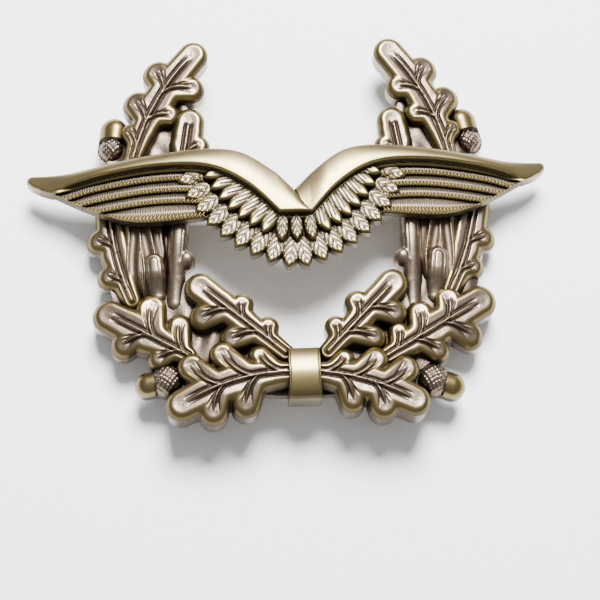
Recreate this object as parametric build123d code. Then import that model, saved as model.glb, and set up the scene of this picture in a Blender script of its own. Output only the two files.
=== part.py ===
from build123d import *
from math import cos, hypot, radians, sin, sqrt
import os

# Winged oak-wreath badge, millimetres. X to the wearer's left, Y towards the open
# top of the wreath, Z out of the face. Z = 0 is the lowest point of the fittings.
# The badge is bent about an axis parallel to Y; "height" below is measured
# outwards from the curved back of the wreath.

# -- driving dimensions ------------------------------------------------------
BEND_R = 100.0        # radius of the curved back
BACK_Z = 5.0          # z of the wreath's back on the centre line
BASE_H = 1.6          # height of the plain ground joining the leaves
WING_BACK = 3.0       # height of the wings' back, where they lie on the wreath
FIT = 0.02            # hand-fit gap between castings
RIM = 0.5             # width of a leaf's raised rim
SUNK = 0.3            # depth of a leaf's field below its rim
VEIN = 0.2            # half width of a vein
STALK_HALF = 1.2      # half width of a leaf at its stalk
LOBE_LEAN = 0.7       # a lobe springs this far back, over the width it covers
LOBE_NECK = 0.85      # radius of a lobe's root over its end's
ACORN_MID_H = 0.9     # height of an acorn's widest level
ACORN_SWELL = 1.12    # radius of an acorn's dome over its plan radius

# wings
WING_X = 0.45         # centre line of the wings
SPAN_LEFT = 32.55
SPAN_RIGHT = 31.65
SPAN_DRAWN = 32.1     # half span of the outline lists below
FLIGHT_H = 4.7
ROW2_H = 4.6
ROW1_H = 5.0
BAR_H = 6.0

# band
BAND_X, BAND_W = 0.6, 3.8
BAND_WALL = 0.5
NECK_Y0, NECK_Y1 = -21.6, -16.4
NECK_TOP = 9.2

# fixings between wings and wreath
RIVET_X, RIVET_Y = 15.0, 6.6
SHANK_R, HOLE_R = 1.0, 1.1
SEAT_Z = 3.0          # flat seats cut or raised on the curved back
SEAT_R = 3.3
RIVET_SEAT_R = 2.6
WASHER_R, WASHER_T = 2.3, 0.4
RIVET_HEAD_R, RIVET_HEAD_T = 1.6, 0.8
SHANK_TOP = 8.3

# pin fastener
PIN_Y = 3.4
PIN_Z = 1.3           # height of the needle's axis
HINGE_X, CATCH_X = -20.5, 19.5
PLATE_R, PLATE_T = 3.0, 0.4
EAR_GAP, EAR_T, EAR_R = 1.7, 0.5, 1.3
AXLE_R, AXLE_HEAD_R, AXLE_HEAD_T = 0.40, 0.65, 0.3
EYE_R, EYE_HOLE_R, EYE_W = 0.9, 0.45, 1.5
NEEDLE_R, NEEDLE_TIP_R = 0.45, 0.08
NEEDLE_ROOT_R, NEEDLE_ROOT_L = 0.75, 2.8   # thicker root, as wide as the eye
NEEDLE_TAPER = 6.0
TUBE_R, TUBE_BORE_R, TUBE_L = 1.3, 0.95, 2.6
SLOT_W = 1.1
LOCK_R, LOCK_BORE_R, LOCK_SLOT = 0.90, 0.55, 1.05
COLLAR_R, COLLAR_L = 1.2, 0.8
LEVER_L, LEVER_T = 3.2, 0.5

# ground under the leaves: centre line and half width, left then right
GROUND = [
    [(0.6, -19.0, 2.4), (-9.0, -17.6, 3.2), (-13.4, -13.4, 3.8), (-17.2, -8.5, 4.4),
     (-18.6, 0.0, 5.2), (-18.2, 8.5, 4.4), (-15.2, 15.0, 3.4)],
    [(-12.5, -16.5, 1.8), (-17.2, -18.4, 1.2)],
    [(0.6, -19.0, 2.4), (9.6, -18.2, 3.2), (14.2, -14.0, 3.8), (17.9, -8.5, 4.4),
     (19.1, 0.0, 5.2), (19.0, 8.5, 4.4), (17.0, 14.6, 3.4)],
    [(13.0, -17.0, 1.8), (18.2, -19.8, 1.2)],
]

# oak leaves: height, stalk, centre of the round tip, bow of the rib to its left, half widths
# half way along and at the tip, then the lobes left and right of the rib, seen from the
# stalk. A lobe is (share of the rib it stands abreast of, reach from the rib to its edge,
# radius); the notches are the gaps between lobes, down to the blade's half width.
LEAVES = {
    "side_left_outer": (2.6, (-19.5, -8.5), (-22.0, 4.0), 0.6, (1.9, 1.9),
                        [(0.68, 3.3, 1.5), (0.30, 3.0, 1.5)], []),
    "side_right_outer": (2.6, (19.0, -8.5), (22.8, 3.0), -0.5, (2.0, 2.2),
                         [], [(0.68, 3.4, 1.5), (0.34, 2.9, 1.4)]),
    "side_left_middle": (2.7, (-18.0, -8.5), (-18.5, 3.0), 0.0, (3.0, 3.0), [], []),
    "side_right_middle": (2.7, (17.5, -9.0), (18.5, 2.5), 0.0, (3.0, 3.0), [], []),
    "side_left_inner": (2.9, (-14.5, -9.0), (-13.5, 2.5), 0.0, (1.2, 1.3), [], [(0.46, 2.3, 1.2)]),
    "side_right_inner": (2.9, (14.5, -10.0), (14.8, 1.5), 0.0, (1.2, 1.3), [(0.50, 2.3, 1.2)], []),
    "upper_left_small": (2.9, (-13.0, 8.0), (-12.0, 14.0), 0.0, (2.0, 1.9), [], [(0.50, 3.0, 1.4)]),
    "upper_right_small": (2.9, (14.0, 8.0), (13.2, 13.6), 0.0, (2.0, 1.9), [(0.45, 2.9, 1.4)], []),
    "lower_left_outer": (3.1, (-13.0, -16.0), (-22.3, -10.2), 0.0, (2.2, 2.0),
                         [(0.68, 3.9, 1.6), (0.26, 3.3, 1.4)],
                         [(0.63, 5.0, 1.9), (0.26, 4.4, 1.5)]),
    "lower_right_outer": (3.1, (10.5, -17.0), (22.6, -9.8), 0.0, (2.2, 2.0),
                          [(0.76, 3.9, 1.7), (0.48, 4.2, 1.6), (0.22, 3.2, 1.3)],
                          [(0.74, 4.6, 1.7), (0.42, 4.0, 1.5)]),
    "side_left_lobe": (3.2, (-16.5, -8.0), (-16.8, -4.0), 0.0, (1.3, 1.3), [], []),
    "side_right_lobe": (3.2, (17.2, -9.0), (17.8, -4.2), 0.0, (1.4, 1.4), [], []),
    "upper_left": (3.3, (-19.0, 9.5), (-11.3, 22.8), 1.0, (2.2, 1.9),
                   [(0.74, 3.9, 1.8), (0.44, 4.0, 1.7), (0.20, 2.7, 1.2)],
                   [(0.74, 4.4, 1.6), (0.46, 3.6, 1.4)]),
    "upper_right": (3.3, (20.0, 9.0), (13.4, 22.75), -1.0, (2.2, 2.0),
                    [(0.70, 3.6, 1.6), (0.44, 3.4, 1.4)],
                    [(0.76, 4.0, 1.8), (0.46, 4.4, 1.7), (0.20, 2.8, 1.2)]),
    "inner_left": (3.7, (-1.5, -16.5), (-11.3, -7.8), 0.0, (1.7, 1.9),
                   [(0.80, 4.3, 1.7), (0.46, 4.1, 1.6)],
                   [(0.60, 2.9, 1.4), (0.28, 2.6, 1.3)]),
    "inner_right": (3.7, (3.5, -16.5), (11.8, -8.0), 0.0, (1.7, 1.9),
                    [(0.60, 3.1, 1.5), (0.26, 2.8, 1.3)],
                    [(0.78, 4.1, 1.6), (0.44, 4.3, 1.5)]),
    "bottom_left": (4.3, (0.0, -19.0), (-13.9, -22.2), -1.0, (2.2, 1.9),
                    [(0.76, 4.2, 1.7), (0.49, 4.6, 1.7)],
                    [(0.84, 5.4, 1.7), (0.57, 5.3, 1.6), (0.28, 3.8, 1.3)]),
    "bottom_right": (4.3, (1.2, -19.0), (13.5, -22.6), 0.7, (2.2, 1.9),
                     [(0.85, 4.9, 1.7), (0.56, 4.6, 1.6), (0.28, 3.4, 1.2)],
                     [(0.73, 3.8, 1.7), (0.44, 4.1, 1.5)]),
}

# acorns: cup centre and radius, nut centre and radius
ACORNS = [
    ((-15.6, -18.6, 1.9), (-17.9, -18.9, 1.5)),
    ((16.2, -19.6, 1.9), (18.4, -20.3, 1.6)),
    ((-21.7, 11.6, 1.5), (-21.4, 14.0, 1.7)),
    ((23.0, 11.6, 1.5), (22.4, 14.2, 1.7)),
]

# wings, one side, measured from their centre line
BAR_TOP = [(0.0, 3.2), (2.0, 5.6), (6.3, 8.55), (11.4, 9.2), (18.8, 8.7), (26.5, 7.8), (31.6, 8.2)]
BAR_LOW = [(0.0, 0.2), (1.9, 0.2), (5.6, 4.0), (10.2, 6.5), (16.5, 7.05), (24.0, 6.4), (29.0, 5.5)]
UNDER = [(29.0, 5.4), (24.3, 2.6), (19.8, 0.7), (16.0, 0.3), (11.3, 0.5)]
BELLY = [(11.3, 0.5), (9.0, 0.8), (6.8, -1.4), (4.6, -3.0), (2.4, -4.2), (0.0, -4.7)]
# coverts fan out from one centre: radius to the tips, angle of the tip nearest the middle,
# step, number, and feather length at the middle and at the outer end
FAN = (-3.0, 11.0)
ROW2 = (17.8, -76.4, 7.2, 9, 3.8, 2.9)
ROW1 = (14.8, -61.5, 6.6, 7, 3.8, 2.7)
SMALL_PITCH, SMALL_ROOT_Y, SMALL_TIP_Y, SMALL_SPREAD = 1.6, 0.2, -3.1, 1.2
ROW2_HALF, ROW1_HALF, SMALL_HALF = 1.05, 0.8, 0.72
FLIGHT_FROM = 11.0
FLIGHT_COUNT = 4
FLIGHT_GROOVE = 0.14

LOW, HIGH = -5.0, 20.0


# -- helpers -----------------------------------------------------------------
def along_y(radius, length=200.0):
    """Solid cylinder about the axis the badge is bent on."""
    solid = Cylinder(radius, length, rotation=(90, 0, 0))
    return Pos(0, 0, BACK_Z - BEND_R) * solid


def prism(sketch):
    """The sketch drawn straight through the badge."""
    return Pos(0, 0, LOW) * extrude(sketch, amount=HIGH - LOW)


def up_to(sketch, height):
    return prism(sketch) & along_y(BEND_R + height)


def taper(p, q, rp, rq):
    """Flat capsule from a circle at p to a circle at q."""
    dx, dy = q[0] - p[0], q[1] - p[1]
    length = hypot(dx, dy)
    lean = (rp - rq) / length
    side = sqrt(1 - lean * lean)
    ux, uy = dx / length, dy / length
    left = (ux * lean - uy * side, uy * lean + ux * side)
    right = (ux * lean + uy * side, uy * lean - ux * side)
    quad = Polygon(
        (p[0] + left[0] * rp, p[1] + left[1] * rp),
        (p[0] + right[0] * rp, p[1] + right[1] * rp),
        (q[0] + right[0] * rq, q[1] + right[1] * rq),
        (q[0] + left[0] * rq, q[1] + left[1] * rq),
        align=None,
    )
    return quad + Pos(*p) * Circle(rp) + Pos(*q) * Circle(rq)


def rib_point(stalk, tip, bow, share):
    """Place along a leaf's curved rib."""
    dx, dy = tip[0] - stalk[0], tip[1] - stalk[1]
    aside = 4 * bow * share * (1 - share) / hypot(dx, dy)
    return (stalk[0] + dx * share - dy * aside, stalk[1] + dy * share + dx * aside)


def leaf_lobes(stalk, tip, bow, left, right):
    """Root, root radius, end and end radius of each lobe."""
    dx, dy = tip[0] - stalk[0], tip[1] - stalk[1]
    length = hypot(dx, dy)
    lobes = []
    for side, row in ((1, left), (-1, right)):
        for share, reach, r in row:
            out = reach - r
            root = rib_point(stalk, tip, bow, max(0.0, share - LOBE_LEAN * out / length))
            x, y = rib_point(stalk, tip, bow, share)
            end = (x - side * dy / length * out, y + side * dx / length * out)
            lobes.append((root, LOBE_NECK * r, end, r))
    return lobes


def leaf_plan(rib, widths, lobes, inset=0.0):
    """Outline of a leaf, or of the field left inside its rim."""
    shape = Sketch()
    for a, b, ra, rb in zip(rib, rib[1:], widths, widths[1:]):
        shape += taper(a, b, ra - inset, rb - inset)
    for root, root_r, end, r in lobes:
        shape += taper(root, end, root_r - inset, r - inset)
    return shape


def leaf_veins(rib, lobes):
    shape = Sketch()
    for a, b in zip(rib, rib[1:]):
        shape += taper(a, b, VEIN, VEIN * 0.9)
    for root, _, end, _ in lobes:
        shape += taper(root, end, VEIN, VEIN * 0.7)
    return shape


def leaf(height, stalk, tip, bow, halves, left, right):
    rib = [rib_point(stalk, tip, bow, share) for share in (0.0, 0.5, 1.0)]
    widths = (STALK_HALF, *halves)
    lobes = leaf_lobes(stalk, tip, bow, left, right)
    outline = leaf_plan(rib, widths, lobes)
    field = leaf_plan(rib, widths, lobes, RIM) - leaf_veins(rib, lobes)
    return up_to(outline, height) - (prism(field) - along_y(BEND_R + height - SUNK))


def acorn(cup, nut):
    solid = None
    for x, y, r in (cup, nut):
        z = BACK_Z + sqrt((BEND_R + ACORN_MID_H) ** 2 - x * x) - BEND_R
        ball = Pos(x, y, z) * Sphere(ACORN_SWELL * r, rotation=(90, 0, 0))
        post = up_to(Pos(x, y) * Circle(r), ACORN_MID_H + 2 * r)
        low = up_to(Pos(x, y) * Circle(r), ACORN_MID_H - 0.1)
        piece = (ball & post) + low
        solid = piece if solid is None else solid + piece
    return solid


def side_x(side, x):
    reach = SPAN_RIGHT if side > 0 else SPAN_LEFT
    return WING_X + side * x * reach / SPAN_DRAWN


def placed(side, points):
    return [(side_x(side, x), y) for x, y in points]


def spline_face(*runs):
    """Face bounded by runs of points, each run one smooth curve."""
    edges = []
    for i, run in enumerate(runs):
        edges.append(Spline(*run) if len(run) > 2 else Line(*run))
        following = runs[(i + 1) % len(runs)][0]
        if hypot(run[-1][0] - following[0], run[-1][1] - following[1]) > 1e-6:
            edges.append(Line(run[-1], following))
    return make_face(Curve() + edges)


def lancet(root, tip, half):
    """Pointed feather end between two arcs."""
    mx, my = (root[0] + tip[0]) / 2, (root[1] + tip[1]) / 2
    dx, dy = tip[0] - root[0], tip[1] - root[1]
    length = hypot(dx, dy)
    nx, ny = -dy / length * half, dx / length * half
    one = ThreePointArc(root, (mx + nx, my + ny), tip)
    two = ThreePointArc(tip, (mx - nx, my - ny), root)
    return make_face(Curve() + [one, two])


def covert_row(radius, first, step, count, inner_length, outer_length):
    """Root and tip of each feather in one row, on the positive side."""
    row = []
    for i in range(count):
        angle = radians(first + step * i)
        length = inner_length + (outer_length - inner_length) * i / (count - 1)
        ends = []
        for r in (radius - length, radius):
            ends.append((FAN[0] + r * cos(angle), FAN[1] + r * sin(angle)))
        row.append(ends)
    return row


def small_row():
    row = []
    for k in (-1, 0, 1):
        x = k * SMALL_PITCH
        row.append([(x, SMALL_ROOT_Y), (x * SMALL_SPREAD, SMALL_TIP_Y)])
    return row


def line_y(points, x):
    """Height of a polyline at x."""
    ordered = sorted(points)
    for (x0, y0), (x1, y1) in zip(ordered, ordered[1:]):
        if x0 <= x <= x1:
            return y0 + (y1 - y0) * (x - x0) / (x1 - x0)
    return ordered[-1][1]


# -- band --------------------------------------------------------------------
def neck_profile(grow):
    """Cross-section of the wreath's neck in YZ, grown by the band's wall."""
    y0, y1 = NECK_Y0 - grow, NECK_Y1 + grow
    z0, z1 = BACK_Z - grow, NECK_TOP + grow
    rect = Pos((y0 + y1) / 2, (z0 + z1) / 2) * Rectangle(y1 - y0, z1 - z0)
    top = rect.vertices().sort_by(Axis.Y)[-2:]
    return fillet(top, 1.6 + grow)


def neck_solid(grow, x0, x1):
    return extrude(Plane((x0, 0, 0), x_dir=(0, 1, 0), z_dir=(1, 0, 0)) * neck_profile(grow), amount=x1 - x0)


def tie_band():
    x0, x1 = BAND_X - BAND_W / 2, BAND_X + BAND_W / 2
    return neck_solid(BAND_WALL, x0, x1) - neck_solid(FIT, x0 - 1, x1 + 1)


# -- wreath ------------------------------------------------------------------
def seat(x, y, radius):
    """Round pad with a flat bottom at SEAT_Z, standing on the curved back."""
    disc = Pos(x, y, SEAT_Z) * Cylinder(radius, 6, align=(Align.CENTER, Align.CENTER, Align.MIN))
    return disc & along_y(BEND_R + BASE_H)


def below_seat(x, y, radius):
    return Pos(x, y, SEAT_Z) * Cylinder(radius, 8, align=(Align.CENTER, Align.CENTER, Align.MAX))


def wreath(wing_plan):
    x0, x1 = BAND_X - BAND_W / 2, BAND_X + BAND_W / 2
    body = None
    for run in GROUND:
        for (ax, ay, ar), (bx, by, br) in zip(run, run[1:]):
            piece = up_to(taper((ax, ay), (bx, by), ar, br), BASE_H)
            body = piece if body is None else body + piece
    for spec in LEAVES.values():
        body += leaf(*spec)
    for cup, nut in ACORNS:
        body += acorn(cup, nut)
    body -= along_y(BEND_R)
    body -= prism(wing_plan) - along_y(BEND_R + WING_BACK - FIT)
    body -= neck_solid(BAND_WALL + FIT, x0 - FIT, x1 + FIT)
    body += neck_solid(0, x0 - 0.6, x1 + 0.6)
    for x, r in ((HINGE_X, SEAT_R), (CATCH_X, SEAT_R), (-RIVET_X, RIVET_SEAT_R), (RIVET_X, RIVET_SEAT_R)):
        y = PIN_Y if r == SEAT_R else RIVET_Y
        body += seat(x, y, r)
        body -= below_seat(x, y, r)
    for x in (-RIVET_X, RIVET_X):
        body -= Pos(x, RIVET_Y, 0) * Cylinder(HOLE_R, 40)
    return body


# -- wings -------------------------------------------------------------------
def wing_outline():
    plan = Sketch()
    for side in (-1, 1):
        top, low = placed(side, BAR_TOP), placed(side, BAR_LOW)
        under, belly = placed(side, UNDER), placed(side, BELLY)
        tip = [top[-1], (side_x(side, 32.1), 7.2), (side_x(side, 31.0), 6.1), under[0]]
        plan += spline_face(top, tip, under, belly, [belly[-1], top[0]])
        for ends in covert_row(*ROW2):
            plan += lancet(*placed(side, ends), ROW2_HALF)
    return plan


def bar_outline():
    plan = Sketch()
    for side in (-1, 1):
        top, low = placed(side, BAR_TOP), placed(side, BAR_LOW)
        tip = [top[-1], (side_x(side, 32.1), 7.2), (side_x(side, 31.0), 6.1), low[-1]]
        plan += spline_face(top, tip, list(reversed(low[1:])), [low[1], low[0]], [low[0], top[0]])
    return plan


def flight_grooves():
    """Lines between the long feathers, fanned between bar and under edge."""
    plan = Sketch()
    stations = [FLIGHT_FROM, 15.0, 19.0, 23.0, 26.5, 28.6]
    for side in (-1, 1):
        for k in range(1, FLIGHT_COUNT):
            share = k / FLIGHT_COUNT
            line = []
            for x in stations:
                upper, lower = line_y(BAR_LOW, x), line_y(UNDER, x)
                line.append((side_x(side, x), upper + (lower - upper) * share))
            for a, b in zip(line, line[1:]):
                plan += taper(a, b, FLIGHT_GROOVE, FLIGHT_GROOVE * 0.99)
    return plan


def wings(plan):
    body = up_to(plan, ROW2_H - 0.4)
    flight = plan - Pos(WING_X, 0) * Rectangle(2 * FLIGHT_FROM + 1.0, 40)
    body += up_to(flight - flight_grooves(), FLIGHT_H)
    for row, half, height in ((ROW2, ROW2_HALF, ROW2_H), (ROW1, ROW1_HALF, ROW1_H)):
        for side in (-1, 1):
            for ends in covert_row(*row):
                body += up_to(lancet(*placed(side, ends), half), height)
    for ends in small_row():
        body += up_to(lancet(*placed(1, ends), SMALL_HALF), ROW1_H + 0.2)
    body += up_to(bar_outline(), BAR_H)
    body -= along_y(BEND_R + WING_BACK)
    stand = (Align.CENTER, Align.CENTER, Align.MIN)
    for x in (-RIVET_X, RIVET_X):
        body -= Pos(x, RIVET_Y, 0) * Cylinder(SHANK_R, SHANK_TOP, align=stand)
    return body


# -- fixings -----------------------------------------------------------------
def upright(x, y, z, radius, length):
    return Pos(x, y, z) * Cylinder(radius, length, align=(Align.CENTER, Align.CENTER, Align.MIN))


def rivet(x):
    top = BACK_Z + sqrt((BEND_R + WING_BACK) ** 2 - x * x) - BEND_R + 1.1
    base = SEAT_Z - WASHER_T
    shank = upright(x, RIVET_Y, base, SHANK_R, top - base)
    dome_r = (RIVET_HEAD_R ** 2 + RIVET_HEAD_T ** 2) / (2 * RIVET_HEAD_T)
    dome = Pos(x, RIVET_Y, base - RIVET_HEAD_T + dome_r) * Sphere(dome_r)
    head = dome & upright(x, RIVET_Y, base - RIVET_HEAD_T, RIVET_HEAD_R, RIVET_HEAD_T)
    return shank + head


def washer(x):
    z = SEAT_Z - WASHER_T
    return upright(x, RIVET_Y, z, WASHER_R, WASHER_T) - upright(x, RIVET_Y, z, SHANK_R, WASHER_T)


def along(axis, x, y, z, radius, length):
    """Cylinder centred on a point, lying along X or Y."""
    turn = (0, 90, 0) if axis == "x" else (90, 0, 0)
    return Pos(x, y, z) * Cylinder(radius, length, rotation=turn)


def plate(x):
    return upright(x, PIN_Y, SEAT_Z - PLATE_T, PLATE_R, PLATE_T)


def hinge_bracket():
    top = SEAT_Z - PLATE_T
    width = EAR_GAP + 2 * EAR_T
    foot = Pos(HINGE_X, PIN_Y, top - 0.15) * Box(2 * EAR_R, width, 0.3)
    body = foot
    for side in (-1, 1):
        y = PIN_Y + side * (EAR_GAP + EAR_T) / 2
        ear = Pos(HINGE_X, y, (PIN_Z + top) / 2) * Box(2 * EAR_R, EAR_T, top - PIN_Z)
        body += ear + along("y", HINGE_X, y, PIN_Z, EAR_R, EAR_T)
    return body - along("y", HINGE_X, PIN_Y, PIN_Z, AXLE_R, 10)


def hinge_pin():
    width = EAR_GAP + 2 * EAR_T
    body = along("y", HINGE_X, PIN_Y, PIN_Z, AXLE_R, width + 2 * AXLE_HEAD_T)
    for side in (-1, 1):
        y = PIN_Y + side * (width + AXLE_HEAD_T) / 2
        body += along("y", HINGE_X, y, PIN_Z, AXLE_HEAD_R, AXLE_HEAD_T)
    return body


def needle():
    end = CATCH_X + 2.6
    taper_from = end - NEEDLE_TAPER
    shaft = along("x", (HINGE_X + taper_from) / 2, PIN_Y, PIN_Z, NEEDLE_R, taper_from - HINGE_X)
    point = Pos((taper_from + end) / 2, PIN_Y, PIN_Z) * Cone(
        NEEDLE_R, NEEDLE_TIP_R, NEEDLE_TAPER, rotation=(0, 90, 0)
    )
    root = along("x", HINGE_X + NEEDLE_ROOT_L / 2, PIN_Y, PIN_Z, NEEDLE_ROOT_R, NEEDLE_ROOT_L)
    eye = along("y", HINGE_X, PIN_Y, PIN_Z, EYE_R, EYE_W)
    return shaft + point + root + eye - along("y", HINGE_X, PIN_Y, PIN_Z, EYE_HOLE_R, EYE_W + 1)


def slot(x, length, width):
    """Opening that lets the needle leave downwards."""
    return Pos(x, PIN_Y, PIN_Z - 2) * Box(length, width, 4)


def catch_body():
    top = SEAT_Z - PLATE_T
    tube = along("x", CATCH_X, PIN_Y, PIN_Z, TUBE_R, TUBE_L)
    foot = Pos(CATCH_X, PIN_Y, (PIN_Z + top) / 2) * Box(TUBE_L, 1.6, top - PIN_Z)
    body = tube + foot - along("x", CATCH_X, PIN_Y, PIN_Z, TUBE_BORE_R, TUBE_L + 1)
    return body - slot(CATCH_X, TUBE_L + 1, SLOT_W)


def catch_lock():
    rotor_l = TUBE_L + 2 * COLLAR_L
    rotor = along("x", CATCH_X, PIN_Y, PIN_Z, LOCK_R, rotor_l)
    for side in (-1, 1):
        x = CATCH_X + side * (TUBE_L / 2 + FIT + (COLLAR_L - FIT) / 2)
        rotor += along("x", x, PIN_Y, PIN_Z, COLLAR_R, COLLAR_L - FIT)
    lever_x = CATCH_X - TUBE_L / 2 - COLLAR_L / 2 - FIT / 2
    rotor += Pos(lever_x, PIN_Y - LEVER_L / 2, PIN_Z) * Box(COLLAR_L - FIT, LEVER_L, LEVER_T)
    rotor -= along("x", CATCH_X, PIN_Y, PIN_Z, LOCK_BORE_R, 10)
    return rotor - slot(CATCH_X, 10, LOCK_SLOT)


# -- one file per node -------------------------------------------------------
WING_PLAN = wing_outline()
NODES = {
    "wreath": wreath(WING_PLAN),
    "wings": wings(WING_PLAN),
    "tie_band": tie_band(),
    "wing_rivet_left": rivet(-RIVET_X),
    "wing_rivet_right": rivet(RIVET_X),
    "rivet_washer_left": washer(-RIVET_X),
    "rivet_washer_right": washer(RIVET_X),
    "hinge_plate": plate(HINGE_X),
    "hinge_bracket": hinge_bracket(),
    "hinge_pin": hinge_pin(),
    "needle": needle(),
    "catch_plate": plate(CATCH_X),
    "catch_body": catch_body(),
    "catch_lock": catch_lock(),
}

os.makedirs("parts", exist_ok=True)
for name, solid in NODES.items():
    export_step(solid, "parts/" + name + ".step")
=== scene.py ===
"""Winged oak-wreath badge: relief castings in antiqued bronze, in the frame of the CAD model."""
import math

import bpy
import numpy as np
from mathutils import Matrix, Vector


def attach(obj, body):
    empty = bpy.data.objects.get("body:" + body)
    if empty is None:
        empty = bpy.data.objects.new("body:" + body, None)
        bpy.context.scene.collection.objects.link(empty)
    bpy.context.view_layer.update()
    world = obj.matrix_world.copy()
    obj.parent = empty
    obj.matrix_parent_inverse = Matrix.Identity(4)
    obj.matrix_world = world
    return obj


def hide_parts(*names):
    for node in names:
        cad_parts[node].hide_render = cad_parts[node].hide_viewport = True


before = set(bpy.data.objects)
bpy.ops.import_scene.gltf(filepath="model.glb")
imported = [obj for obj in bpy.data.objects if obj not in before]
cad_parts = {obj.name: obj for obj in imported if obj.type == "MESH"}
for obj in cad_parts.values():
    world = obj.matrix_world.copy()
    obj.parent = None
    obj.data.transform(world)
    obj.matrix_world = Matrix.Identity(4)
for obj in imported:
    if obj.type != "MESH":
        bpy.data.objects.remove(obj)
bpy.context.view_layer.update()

# All sizes below are millimetres in the badge's frame; MM turns them into metres.
# "Height" is measured outwards from the curved back of the wreath.
MM = 0.001
BEND_R = 100.0
BACK_Z = 5.0
STEP = 0.085            # grid pitch of the relief meshes
GROUND_STEP = 0.12      # coarser where there is little detail
WINGS_STEP = 0.06
BAR_STEP = 0.07
GROUND_H = 1.5
WING_BACK = 3.02        # height of the wings' plain back
WALL_POLISH = 0.25      # plumb walls and backs are rubbed less than the relief

# -- layout ------------------------------------------------------------------
# ground under the leaves: centre line and half width
GROUND = {
    "left": [(-1.0, -19.0, 2.3), (-9.0, -17.6, 3.1), (-13.4, -13.4, 3.7), (-17.2, -8.5, 4.3),
             (-18.6, 0.0, 5.1), (-18.2, 8.5, 4.3), (-15.2, 15.0, 3.3)],
    "right": [(2.2, -19.0, 2.3), (9.6, -18.2, 3.1), (14.2, -14.0, 3.7), (17.9, -8.5, 4.3),
              (19.1, 0.0, 5.1), (19.0, 8.5, 4.3), (17.0, 14.6, 3.3)],
}

# oak leaves: height, stalk, centre of the round tip, bow of the rib to its left, half widths
# half way along and at the tip, then the lobes left and right of the rib, seen from the
# stalk. A lobe is (share of the rib it stands abreast of, reach from the rib to its edge,
# radius); the notches are the gaps between lobes, down to the blade's half width.
LEAVES = {
    "side_left_outer": (2.6, (-19.5, -8.5), (-22.0, 4.0), 0.6, (1.9, 1.9),
                        [(0.68, 3.3, 1.5), (0.30, 3.0, 1.5)], []),
    "side_right_outer": (2.6, (19.0, -8.5), (22.8, 3.0), -0.5, (2.0, 2.2),
                         [], [(0.68, 3.4, 1.5), (0.34, 2.9, 1.4)]),
    "side_left_middle": (2.7, (-18.0, -8.5), (-18.5, 3.0), 0.0, (3.0, 3.0), [], []),
    "side_right_middle": (2.7, (17.5, -9.0), (18.5, 2.5), 0.0, (3.0, 3.0), [], []),
    "side_left_inner": (2.9, (-14.5, -9.0), (-13.5, 2.5), 0.0, (1.2, 1.3), [], [(0.46, 2.3, 1.2)]),
    "side_right_inner": (2.9, (14.5, -10.0), (14.8, 1.5), 0.0, (1.2, 1.3), [(0.50, 2.3, 1.2)], []),
    "upper_left_small": (2.9, (-13.0, 8.0), (-12.0, 14.0), 0.0, (2.0, 1.9), [], [(0.50, 3.0, 1.4)]),
    "upper_right_small": (2.9, (14.0, 8.0), (13.2, 13.6), 0.0, (2.0, 1.9), [(0.45, 2.9, 1.4)], []),
    "lower_left_outer": (3.1, (-13.0, -16.0), (-22.3, -10.2), 0.0, (2.2, 2.0),
                         [(0.68, 3.9, 1.6), (0.26, 3.3, 1.4)],
                         [(0.63, 5.0, 1.9), (0.26, 4.4, 1.5)]),
    "lower_right_outer": (3.1, (10.5, -17.0), (22.6, -9.8), 0.0, (2.2, 2.0),
                          [(0.76, 3.9, 1.7), (0.48, 4.2, 1.6), (0.22, 3.2, 1.3)],
                          [(0.74, 4.6, 1.7), (0.42, 4.0, 1.5)]),
    "side_left_lobe": (3.2, (-16.5, -8.0), (-16.8, -4.0), 0.0, (1.3, 1.3), [], []),
    "side_right_lobe": (3.2, (17.2, -9.0), (17.8, -4.2), 0.0, (1.4, 1.4), [], []),
    "upper_left": (3.3, (-19.0, 9.5), (-11.3, 22.8), 1.0, (2.2, 1.9),
                   [(0.74, 3.9, 1.8), (0.44, 4.0, 1.7), (0.20, 2.7, 1.2)],
                   [(0.74, 4.4, 1.6), (0.46, 3.6, 1.4)]),
    "upper_right": (3.3, (20.0, 9.0), (13.4, 22.75), -1.0, (2.2, 2.0),
                    [(0.70, 3.6, 1.6), (0.44, 3.4, 1.4)],
                    [(0.76, 4.0, 1.8), (0.46, 4.4, 1.7), (0.20, 2.8, 1.2)]),
    "inner_left": (3.7, (-1.5, -16.5), (-11.3, -7.8), 0.0, (1.7, 1.9),
                   [(0.80, 4.3, 1.7), (0.46, 4.1, 1.6)],
                   [(0.60, 2.9, 1.4), (0.28, 2.6, 1.3)]),
    "inner_right": (3.7, (3.5, -16.5), (11.8, -8.0), 0.0, (1.7, 1.9),
                    [(0.60, 3.1, 1.5), (0.26, 2.8, 1.3)],
                    [(0.78, 4.1, 1.6), (0.44, 4.3, 1.5)]),
    "bottom_left": (4.3, (0.0, -19.0), (-13.9, -22.2), -1.0, (2.2, 1.9),
                    [(0.76, 4.2, 1.7), (0.49, 4.6, 1.7)],
                    [(0.84, 5.4, 1.7), (0.57, 5.3, 1.6), (0.28, 3.8, 1.3)]),
    "bottom_right": (4.3, (1.2, -19.0), (13.5, -22.6), 0.7, (2.2, 1.9),
                     [(0.85, 4.9, 1.7), (0.56, 4.6, 1.6), (0.28, 3.4, 1.2)],
                     [(0.73, 3.8, 1.7), (0.44, 4.1, 1.5)]),
}
STALK_HALF = 1.2
LOBE_LEAN, LOBE_NECK = 0.7, 0.85      # how far back a lobe springs, and how much slimmer there
VEIN_BACK = 0.8                       # a vein leaves the rib this far behind its lobe's root
VEIN_BEND = 0.45                      # share of its length over which it still follows the rib
SIDE_VEIN, SIDE_VEIN_WEIGHT = 0.5, 0.7    # finer veins beside it: spread and depth
BLADE_BLEND, LOBE_BLEND = 0.25, 0.3   # how softly a leaf's stretches and lobes run together
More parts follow.
